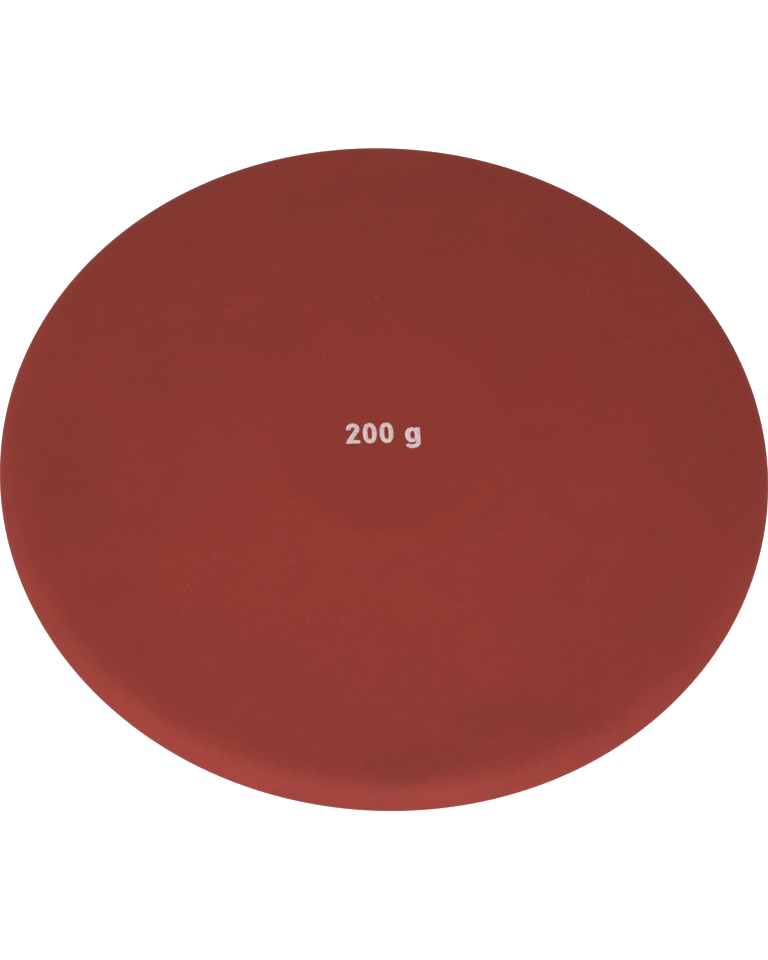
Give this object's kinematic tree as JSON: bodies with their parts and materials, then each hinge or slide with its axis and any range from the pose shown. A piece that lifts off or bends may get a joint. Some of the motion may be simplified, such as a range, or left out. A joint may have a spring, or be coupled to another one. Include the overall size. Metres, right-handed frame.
{
  "type": "training discus",
  "caption": "Soft hollow training discus: flat centre, straight cone to a rounded rim, the same on both faces, with a push-in air valve under the centre.",
  "frame": {"origin": "middle of the discus, on its spin axis, half-way between the two flat faces", "axes": "+Z along the spin axis, out of the printed face; -Z out of the face with the valve; +X to the right of the printed weight"},
  "size_m": [0.18, 0.18, 0.032],
  "materials": {
    "soft_pvc": "brick-red soft PVC, matt and slightly mottled as moulded",
    "valve_rubber": "black soft rubber, matt",
    "plug_plastic": "off-white polythene, satin",
    "print_ink": "thin pale pad-printed ink, slightly uneven"
  },
  "bodies": {
    "discus": {"shell": "soft_pvc", "valve_seat": "valve_rubber"},
    "plug": {"valve_plug": "plug_plastic"}
  },
  "joints": [
    {"name": "valve_plug_pull", "type": "slide", "parent": "discus", "child": "plug", "axis": [0, 0, -1], "range_m": [0, 0.015]}
  ]
}
